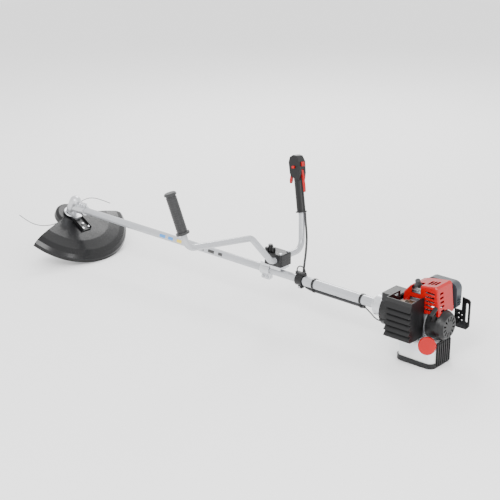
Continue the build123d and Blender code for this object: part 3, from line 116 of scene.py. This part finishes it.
class Finish:
    """One material: a Principled shader and the nodes that feed it."""

    def __init__(self, name, **uniform):
        self.material = bpy.data.materials.new(name)
        self.material.use_nodes = True
        self.tree = self.material.node_tree
        self.shader = self.tree.nodes["Principled BSDF"]
        for socket, value in uniform.items():
            self.shader.inputs[socket.replace("_", " ")].default_value = value
        self.place = self.add("ShaderNodeTexCoord", output="Object")

    def add(self, kind, settings=None, inputs=None, output=0):
        """Add a node: its settings first, then the values or links of its sockets."""
        node = self.tree.nodes.new(kind)
        for key, value in (settings or {}).items():
            if key == "stops":
                ramp = node.color_ramp
                while len(ramp.elements) < len(value):
                    ramp.elements.new(0.5)
                for element, (position, colour) in zip(ramp.elements, value):
                    element.position = position
                    element.color = colour
            else:
                setattr(node, key, value)
        for key, value in (inputs or {}).items():
            if isinstance(value, Field):
                self.tree.links.new(value.socket, node.inputs[key])
            else:
                node.inputs[key].default_value = value
        return Field(self, node.outputs[output])

    def axis(self, letter):
        """The X, Y or Z place on the machine, in metres."""
        return self.add("ShaderNodeSeparateXYZ", {}, {"Vector": self.place}, letter)

    def stretched(self, scale):
        """The place scaled by its own factor along each axis, for grain and scratches."""
        return self.add("ShaderNodeVectorMath", {"operation": "MULTIPLY"},
                        {0: self.place, 1: scale})

    def noise(self, scale, detail=3.0, roughness=0.5, vector=None):
        """Soft random values from 0 to 1."""
        return self.add("ShaderNodeTexNoise", {},
                        {"Vector": vector or self.place, "Scale": scale, "Detail": detail,
                         "Roughness": roughness})

    def cells(self, scale):
        """Distance to the nearest of many scattered points."""
        return self.add("ShaderNodeTexVoronoi", {}, {"Vector": self.place, "Scale": scale})

    def mix(self, mask, low, high):
        """A colour that goes from low to high as the mask goes from 0 to 1."""
        return self.add("ShaderNodeMix", {"data_type": "RGBA"},
                        {0: mask, 6: low, 7: high}, 2)

    def edges(self, radius=0.0012):
        """1 on sharp edges and 0 on flat faces: how far a rounded normal leaves the true one."""
        rounded = self.add("ShaderNodeBevel", {"samples": 4}, {"Radius": radius})
        normal = self.add("ShaderNodeNewGeometry", output="Normal")
        agreement = self.add("ShaderNodeVectorMath", {"operation": "DOT_PRODUCT"},
                             {0: rounded, 1: normal}, "Value")
        return (1.0 - agreement).smooth(0.01, 0.16)

    def bump(self, height, distance, strength=1.0, soften=0.0):
        """Feed a height to the shader's normal, over edges that are rounded if asked."""
        inputs = {"Height": height, "Distance": distance, "Strength": strength}
        if soften > 0:
            inputs["Normal"] = self.add("ShaderNodeBevel", {"samples": 4}, {"Radius": soften})
        self.feed("Normal", self.add("ShaderNodeBump", {}, inputs))

    def feed(self, socket, value):
        """Link a value to one of the shader's own sockets."""
        self.tree.links.new(value.socket, self.shader.inputs[socket])


def colour(values, level=1.0):
    """A colour with its alpha, scaled in brightness."""
    return (values[0] * level, values[1] * level, values[2] * level, 1.0)


def white_enamel(name, tint):
    """Pale enamel on a tube: faint cloudiness, fine handling marks and a clear coat."""
    finish = Finish(name, Metallic=0.25, Coat_Weight=0.35, Coat_Roughness=0.12)
    cloud = finish.noise(22.0, 4.0)
    marks = finish.noise(1.0, 6.0, 0.7, finish.stretched((60.0, 900.0, 900.0))).smooth(0.60, 0.72)
    specks = finish.noise(1400.0, 2.0)
    base = finish.mix(cloud, colour(tint, 0.93), colour(tint, 1.05))
    finish.feed("Base Color", finish.mix(marks * 0.35, base, colour(tint, 0.62)))
    finish.feed("Roughness", cloud * 0.10 + marks * 0.18 + 0.20)
    finish.bump(specks + marks * 0.6, 0.00006, 0.5, 0.0006)
    return finish.material


def labelled_enamel(name, tint):
    """The tube's enamel with a few plain colour bands stuck on it ahead of the clamp."""
    finish = Finish(name, Metallic=0.25, Coat_Weight=0.35, Coat_Roughness=0.12)
    cloud = finish.noise(22.0, 4.0)
    marks = finish.noise(1.0, 6.0, 0.7, finish.stretched((60.0, 900.0, 900.0))).smooth(0.60, 0.72)
    along = finish.axis("X")
    across = finish.axis("Y")
    near = across.smooth(0.001, -0.001)
    height = finish.axis("Z")
    band = near * height.over(0.138) * (1.0 - height.over(0.149))
    base = finish.mix(cloud, colour(tint, 0.93), colour(tint, 1.05))
    base = finish.mix(marks * 0.35, base, colour(tint, 0.62))
    for start, end, paint in ((-1.165, -1.135, (0.05, 0.25, 0.62)),
                              (-1.120, -1.095, (0.05, 0.25, 0.62)),
                              (-1.075, -1.050, (0.75, 0.55, 0.05))):
        patch = band * along.over(start) * (1.0 - along.over(end))
        base = finish.mix(patch, base, colour(paint))
    for start, end in ((-0.965, -0.935), (-0.915, -0.885), (-0.865, -0.845)):
        patch = band * along.over(start) * (1.0 - along.over(end))
        base = finish.mix(patch, base, (0.03, 0.03, 0.03, 1.0))
    finish.feed("Base Color", base)
    finish.feed("Roughness", cloud * 0.10 + marks * 0.18 + 0.20)
    finish.bump(finish.noise(1400.0, 2.0) + marks * 0.6, 0.00006, 0.5)
    return finish.material


def cast_silver(name, tint, grain=0.00018):
    """Silver die casting: a fine sand skin, darker hollows and bright rubbed edges."""
    finish = Finish(name, Metallic=0.85)
    cloud = finish.noise(35.0, 5.0, 0.6)
    sand = finish.noise(900.0, 3.0, 0.6)
    pits = finish.cells(520.0).smooth(0.0, 0.35)
    edge = finish.edges()
    base = finish.mix(cloud, colour(tint, 0.80), colour(tint, 1.08))
    finish.feed("Base Color", finish.mix(edge, base, (0.85, 0.86, 0.88, 1.0)))
    finish.feed("Roughness", cloud * 0.14 + sand * 0.10 + 0.28 - edge * 0.10)
    finish.bump(sand * 0.7 + pits * 0.5, grain, 0.6, 0.0008)
    return finish.material


def machined_steel(name, tint):
    """Turned steel: fine tool rings, a few darker oil stains and bright edges."""
    finish = Finish(name, Metallic=1.0)
    rings = finish.noise(1.0, 3.0, 0.5, finish.stretched((2600.0, 260.0, 260.0)))
    stain = finish.noise(60.0, 4.0).smooth(0.50, 0.75)
    edge = finish.edges(0.0008)
    base = finish.mix(stain, colour(tint), colour(tint, 0.55))
    finish.feed("Base Color", finish.mix(edge, base, (0.80, 0.80, 0.82, 1.0)))
    finish.feed("Roughness", rings * 0.16 + stain * 0.18 + 0.18)
    finish.bump(rings, 0.00005, 0.5, 0.0005)
    return finish.material


def moulded_plastic(name, tint, gloss, grain=0.00012, wear=0.5):
    """Moulded plastic: a spark-eroded grain, faint flow shading, scuffs and pale edges."""
    finish = Finish(name, Coat_Weight=0.0, Specular_IOR_Level=0.35)
    flow = finish.noise(16.0, 3.0)
    leather = finish.cells(850.0)
    scuff = finish.noise(1.0, 5.0, 0.65, finish.stretched((140.0, 420.0, 900.0))).smooth(0.62, 0.75)
    edge = finish.edges(0.0009)
    pale = tuple(min(1.0, value * 1.4 + 0.02) for value in tint)
    base = finish.mix(flow, colour(tint, 0.85), colour(tint, 1.18))
    base = finish.mix(edge * wear, base, colour(pale))
    finish.feed("Base Color", finish.mix(scuff * 0.35, base, colour(pale)))
    finish.feed("Roughness", leather * 0.12 + flow * 0.08 + scuff * 0.16 + (1.0 - gloss) - 0.12)
    finish.bump(leather + flow * 0.3, grain, 0.45, 0.0009)
    return finish.material


def shield_plastic(name, tint):
    """Glossy shield plastic: long soft sink waves, dust low down and grass scuffs."""
    finish = Finish(name, Coat_Weight=0.10, Coat_Roughness=0.10, Specular_IOR_Level=0.3)
    waves = finish.noise(14.0, 2.0, 0.4)
    dust = finish.noise(180.0, 5.0, 0.7).smooth(0.45, 0.85)
    low = finish.axis("Z").smooth(0.09, -0.04)
    scuff = finish.noise(1.0, 4.0, 0.6, finish.stretched((40.0, 160.0, 500.0))).smooth(0.64, 0.74)
    base = finish.mix(waves, colour(tint, 0.8), colour(tint, 1.3))
    base = finish.mix(scuff * 0.3, base, (0.02, 0.02, 0.021, 1.0))
    finish.feed("Base Color", finish.mix(dust * low * 0.15, base, (0.05, 0.048, 0.043, 1.0)))
    finish.feed("Roughness", waves * 0.10 + scuff * 0.20 + dust * 0.06 + 0.19)
    finish.bump(waves * 1.0 + finish.noise(700.0, 2.0) * 0.02, 0.0022, 0.35)
    return finish.material


def grip_rubber(name, tint):
    """Matt rubber: a fine matt grain, dust in its low spots and shiny worn ribs."""
    finish = Finish(name, Sheen_Weight=0.15)
    grain = finish.noise(1500.0, 3.0, 0.7)
    dust = finish.noise(90.0, 5.0, 0.6).smooth(0.45, 0.8)
    worn = finish.edges(0.0012)
    base = finish.mix(dust * 0.4, colour(tint), colour(tint, 2.2))
    finish.feed("Base Color", finish.mix(worn * 0.3, base, colour(tint, 3.0)))
    finish.feed("Roughness", grain * 0.12 + 0.52 - worn * 0.12)
    finish.bump(grain, 0.00012, 0.6, 0.0008)
    return finish.material


def tank_plastic(name, tint):
    """Milky tank plastic that lets light in: moulding clouds and a darker fuel line."""
    finish = Finish(name, Subsurface_Weight=0.25, Subsurface_Scale=0.02, Coat_Weight=0.1)
    finish.shader.inputs["Subsurface Radius"].default_value = (1.0, 0.95, 0.9)
    cloud = finish.noise(26.0, 5.0, 0.6)
    level = finish.axis("Z") + cloud * 0.004
    fuel = 1.0 - level.smooth(0.044, 0.047)
    base = finish.mix(cloud, colour(tint, 0.94), colour(tint, 1.03))
    finish.feed("Base Color", finish.mix(fuel * 0.22, base, (0.80, 0.78, 0.62, 1.0)))
    finish.feed("Roughness", cloud * 0.12 + 0.30)
    finish.bump(finish.noise(500.0, 3.0) + cloud * 2.0, 0.00022, 0.5, 0.0008)
    return finish.material


def heat_paint(name, tint):
    """Heat-stained muffler steel: straw and blue bands over dull black paint."""
    finish = Finish(name, Metallic=0.6)
    heat = finish.noise(30.0, 4.0, 0.6)
    stained = finish.add("ShaderNodeValToRGB",
                         {"stops": ((0.30, colour(tint)), (0.52, (0.16, 0.11, 0.07, 1.0)),
                                    (0.66, (0.30, 0.26, 0.22, 1.0)),
                                    (0.85, (0.42, 0.42, 0.44, 1.0)))}, {0: heat})
    finish.feed("Base Color", stained)
    finish.feed("Roughness", heat * 0.2 + finish.noise(700.0, 3.0) * 0.15 + 0.32)
    finish.bump(finish.noise(420.0, 4.0, 0.7), 0.0002, 0.5, 0.0008)
    return finish.material


def line_nylon(name, tint):
    """Extruded nylon line: fine drawn streaks along it and chalky scuffs."""
    finish = Finish(name, Subsurface_Weight=0.1, Subsurface_Scale=0.002)
    chalk = finish.noise(260.0, 4.0).smooth(0.5, 0.8)
    base = finish.mix(finish.noise(70.0, 2.0), colour(tint, 0.85), colour(tint, 1.15))
    finish.feed("Base Color", finish.mix(chalk * 0.3, base, (0.34, 0.34, 0.34, 1.0)))
    finish.feed("Roughness", chalk * 0.2 + 0.32)
    finish.bump(finish.noise(1800.0, 2.0), 0.00008, 0.5)
    return finish.material


def floor_paint(name, tint):
    """A plain pale studio floor with a trace of unevenness."""
    finish = Finish(name)
    cloud = finish.noise(1.5, 3.0)
    finish.feed("Base Color", finish.mix(cloud, colour(tint, 0.995), colour(tint)))
    finish.feed("Roughness", cloud * 0.1 + 0.85)
    return finish.material


FINISHES = {}


def finish_of(name):
    """A finish by name, made when it is first asked for."""
    paints = bpy.context.scene.cutter_colours
    makers = {
        "tube": lambda: labelled_enamel("tube enamel", paints.enamel),
        "enamel": lambda: white_enamel("pale enamel", paints.enamel),
        "cast": lambda: cast_silver("silver casting", paints.casting),
        "rough_cast": lambda: cast_silver("engine casting", (0.42, 0.43, 0.45), 0.0003),
        "steel": lambda: machined_steel("machined steel", (0.48, 0.49, 0.51)),
        "black": lambda: moulded_plastic("black moulding", paints.black, 0.62),
        "gloss_black": lambda: shield_plastic("shield moulding", paints.black),
        "grey": lambda: moulded_plastic("dark grey moulding", (0.035, 0.042, 0.050), 0.60),
        "red": lambda: moulded_plastic("red moulding", paints.red, 0.78, 0.00005, 0.15),
        "rubber": lambda: grip_rubber("black rubber", (0.012, 0.012, 0.013)),
        "nylon": lambda: line_nylon("nylon line", (0.09, 0.095, 0.10)),
        "tank": lambda: tank_plastic("tank moulding", paints.tank),
        "heat": lambda: heat_paint("muffler steel", (0.03, 0.03, 0.032)),
        "ceramic": lambda: moulded_plastic("glazed ceramic", (0.75, 0.74, 0.70), 0.85, 0.00003),
        "primer": lambda: moulded_plastic("primer rubber", (0.55, 0.50, 0.42), 0.7, 0.00004),
    }
    if name not in FINISHES:
        FINISHES[name] = makers[name]()
    return FINISHES[name]


# ---------------------------------------------------------------- surfaces
def grid_faces(rows, columns, wrap_rows=False, wrap_columns=False, keep=None):
    """Quads of a grid of points, with the columns or rows joined round if asked."""
    down = np.arange(rows if wrap_rows else rows - 1)
    along = np.arange(columns if wrap_columns else columns - 1)
    first, second = np.meshgrid(down, along, indexing="ij")
    if keep is not None:
        first, second = first[keep], second[keep]
    first, second = first.ravel(), second.ravel()
    below = (first + 1) % rows
    beside = (second + 1) % columns
    return np.stack([first * columns + second, below * columns + second,
                     below * columns + beside, first * columns + beside], axis=1)


# ---------------------------------------------------------------- sizes a user would change
class CutterColours(PropertyGroup):
    """Paint and plastic colours of the machine."""

    enamel: FloatVectorProperty(name="Enamel", description="Pale enamel of the tubes",
                                default=(0.40, 0.41, 0.43), subtype="COLOR", min=0, max=1)
    casting: FloatVectorProperty(name="Casting", description="Silver die castings",
                                 default=(0.62, 0.63, 0.65), subtype="COLOR", min=0, max=1)
    black: FloatVectorProperty(name="Black", description="Black plastic mouldings",
                               default=(0.0035, 0.0035, 0.004), subtype="COLOR", min=0, max=1)
    red: FloatVectorProperty(name="Red", description="Red plastic mouldings",
                             default=(0.36, 0.001, 0.002), subtype="COLOR", min=0, max=1)
    tank: FloatVectorProperty(name="Tank", description="Milky plastic of the fuel tank",
                              default=(0.86, 0.88, 0.91), subtype="COLOR", min=0, max=1)


class CutterSizes(PropertyGroup):
    """Sizes of the visible pieces that aren't set by the frame."""

    line_width: FloatProperty(name="Line width", description="Diameter of the cutting lines",
                              default=0.003, min=0.001, max=0.004, unit="LENGTH")
    lens: FloatProperty(name="Lens", description="Focal length of the camera in millimetres",
                        default=86.4, min=20, max=200)


# ---------------------------------------------------------------- operators
class CUTTER_OT_stage(Operator):
    """Make the camera, the pale floor that both rests touch, and soft studio lights"""

    bl_idname = "cutter.stage"
    bl_label = "Studio stage"

    def execute(self, context):
        turn, rise, distance = math.radians(41.3), math.radians(20.7), 4.25
        target = np.array([-0.7226, 0.0, 0.1904])
        back = np.array([math.sin(turn) * math.cos(rise), -math.cos(turn) * math.cos(rise),
                         math.sin(rise)])
        lens = bpy.data.cameras.new("camera")
        lens.lens = context.scene.cutter_sizes.lens
        lens.sensor_width = 36.0
        lens.clip_end = 100.0
        camera = bpy.data.objects.new("camera", lens)
        camera.location = Vector(target + back * distance)
        camera.rotation_euler = Vector(-back).to_track_quat("-Z", "Y").to_euler()
        context.scene.collection.objects.link(camera)
        context.scene.camera = camera

        # the floor leans: it touches the tank guard's front edge and the shield's rim
        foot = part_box("tank_guard")
        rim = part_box("debris_shield")
        slope = (foot[0][2] - rim[0][2]) / (foot[0][0] - (rim[1][0] + rim[0][0]) / 2 - 0.05)
        reach = np.linspace(-7.0, 7.0, 15)
        across, along = np.meshgrid(reach, reach - 0.7, indexing="ij")
        height = (along - foot[0][0]) * slope + foot[0][2] - 0.0012
        points = np.stack([along, across, height], axis=-1).reshape(-1, 3)
        faces = grid_faces(15, 15)
        mesh = bpy.data.meshes.new("floor")
        mesh.from_pydata(points.tolist(), [], faces.tolist())
        floor = bpy.data.objects.new("floor", mesh)
        context.scene.collection.objects.link(floor)
        mesh.materials.append(floor_paint("studio floor", (0.97, 0.97, 0.97)))

        world = bpy.data.worlds.new("studio")
        world.use_nodes = True
        world.node_tree.nodes["Background"].inputs[0].default_value = (1.0, 1.0, 1.0, 1.0)
        world.node_tree.nodes["Background"].inputs[1].default_value = 1.75
        context.scene.world = world
        for name, place, aim, size, power in (
                ("key", (0.6, -3.2, 3.6), (-0.5, 0.0, 0.1), 2.2, 150.0),
                ("rear strip", (-2.6, 2.6, 2.6), (-0.9, 0.0, 0.1), 1.6, 90.0),
                ("engine fill", (2.6, -1.2, 1.2), (0.0, 0.0, 0.15), 1.2, 36.0)):
            light = bpy.data.lights.new(name, "AREA")
            light.shape = "DISK"
            light.size = size
            light.energy = power
            lamp = bpy.data.objects.new(name, light)
            lamp.location = place
            way = Vector(aim) - Vector(place)
            lamp.rotation_euler = way.to_track_quat("-Z", "Y").to_euler()
            context.scene.collection.objects.link(lamp)
        return {"FINISHED"}


class CUTTER_OT_lines(Operator):
    """Make the two free cutting lines as smooth cords of round section"""

    bl_idname = "cutter.lines"
    bl_label = "Cutting lines"

    def execute(self, context):
        width = context.scene.cutter_sizes.line_width
        height = -0.050
        routes = {
            "trimmer_line_left": ((14.2, -57.0, 0.0), (18, -86, 0.0), (15, -126, 0.5),
                                  (1, -163, 1.5), (-31, -191, 2.5), (-76, -203, 3.0)),
            "trimmer_line_right": ((-28.5, 51.4, 0.0), (-42, 77, 0.0), (-54, 112, 0.5),
                                   (-56, 150, 1.5), (-36, 186, 2.5), (6, 217, 3.0)),
        }
        for node, route in routes.items():
            away, across, rise = np.array(route, float).T / 1000
            points = head_points(away, across, rise + height)
            curve = bpy.data.curves.new(node + "_cord", "CURVE")
            curve.dimensions = "3D"
            curve.bevel_depth = width / 2
            curve.bevel_resolution = 5
            curve.resolution_u = 12
            curve.use_fill_caps = True
            spline = curve.splines.new("NURBS")
            spline.points.add(len(points) - 1)
            for point, place in zip(spline.points, points):
                point.co = (*place, 1.0)
            spline.order_u = 3
            spline.use_endpoint_u = True
            cord = bpy.data.objects.new(node + "_cord", curve)
            context.scene.collection.objects.link(cord)
            curve.materials.append(finish_of("nylon"))
            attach(cord, "cutting_head")
            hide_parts(node)
        return {"FINISHED"}


NODE_FINISHES = {
    "tube": ("drive_tube",),
    "enamel": ("tube_sleeve", "handlebar"),
    "cast": ("gear_case", "head_flange", "bar_bracket", "clutch_housing"),
    "rough_cast": ("crankcase", "cylinder", "carburettor", "flywheel", "piston"),
    "steel": ("shaft_bearings", "frame_bolts", "line_cutter", "drive_shaft",
              "bevel_pinion", "clutch_drum", "bevel_wheel", "spindle", "crankshaft",
              "clutch_shoes", "connecting_rod", "throttle_arm"),
    "black": ("shield_bracket", "clamp_lower", "clamp_upper", "clamp_knob", "hanger_block",
              "cable_bands", "muffler_guard", "carb_guard", "starter_housing", "tank_guard",
              "trimmer_housing", "bump_knob", "throttle_housing", "starter_grip",
              "fan_housing", "starter_pulley", "hanger_eye"),
    "gloss_black": ("debris_shield",),
    "grey": ("air_filter_cover",),
    "red": ("cylinder_cover", "fuel_cap", "throttle_trigger", "lockout_lever", "stop_switch",
            "start_button"),
    "rubber": ("left_grip", "cable_bow", "cable_run", "plug_cap"),
    "nylon": ("starter_rope",),
    "tank": ("fuel_tank",),
    "heat": ("muffler",),
    "ceramic": ("spark_plug",),
    "primer": ("primer_bulb",),
}


class CUTTER_OT_node_finishes(Operator):
    """Give every piece that keeps its own shape the finish of its real material"""

    bl_idname = "cutter.node_finishes"
    bl_label = "Finishes of the plain pieces"

    def execute(self, context):
        for finish, nodes in NODE_FINISHES.items():
            for node in nodes:
                piece = bpy.data.objects[node]
                if not piece.material_slots:
                    piece.data.materials.append(finish_of(finish))
                for slot in piece.material_slots:
                    slot.material = finish_of(finish)
        return {"FINISHED"}


class CUTTER_PT_sidebar(Panel):
    """The pieces of the brush cutter, in the order in which they are made."""

    bl_idname = "CUTTER_PT_sidebar"
    bl_label = "Brush cutter"
    bl_space_type = "VIEW_3D"
    bl_region_type = "UI"
    bl_category = "Brush cutter"

    def draw(self, context):
        layout = self.layout
        for name in CutterColours.__annotations__:
            layout.prop(context.scene.cutter_colours, name)
        for name in CutterSizes.__annotations__:
            layout.prop(context.scene.cutter_sizes, name)
        for operator in OPERATORS:
            layout.operator(operator.bl_idname)


OPERATORS = (CUTTER_OT_stage, CUTTER_OT_lines, CUTTER_OT_node_finishes)
GROUPS = (CutterColours, CutterSizes)


def register():
    """Register the property groups, the operators and the panel."""
    for group in GROUPS:
        bpy.utils.register_class(group)
    bpy.types.Scene.cutter_colours = PointerProperty(type=CutterColours)
    bpy.types.Scene.cutter_sizes = PointerProperty(type=CutterSizes)
    for entry in OPERATORS + (CUTTER_PT_sidebar,):
        bpy.utils.register_class(entry)


def unregister():
    """Take everything off again, in the reverse order."""
    for entry in reversed(OPERATORS + (CUTTER_PT_sidebar,)):
        bpy.utils.unregister_class(entry)
    del bpy.types.Scene.cutter_sizes
    del bpy.types.Scene.cutter_colours
    for group in reversed(GROUPS):
        bpy.utils.unregister_class(group)


def main():
    """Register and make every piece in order."""
    register()
    for operator in OPERATORS:
        group, name = operator.bl_idname.split(".")
        getattr(getattr(bpy.ops, group), name)()


if __name__ == "__main__":
    main()
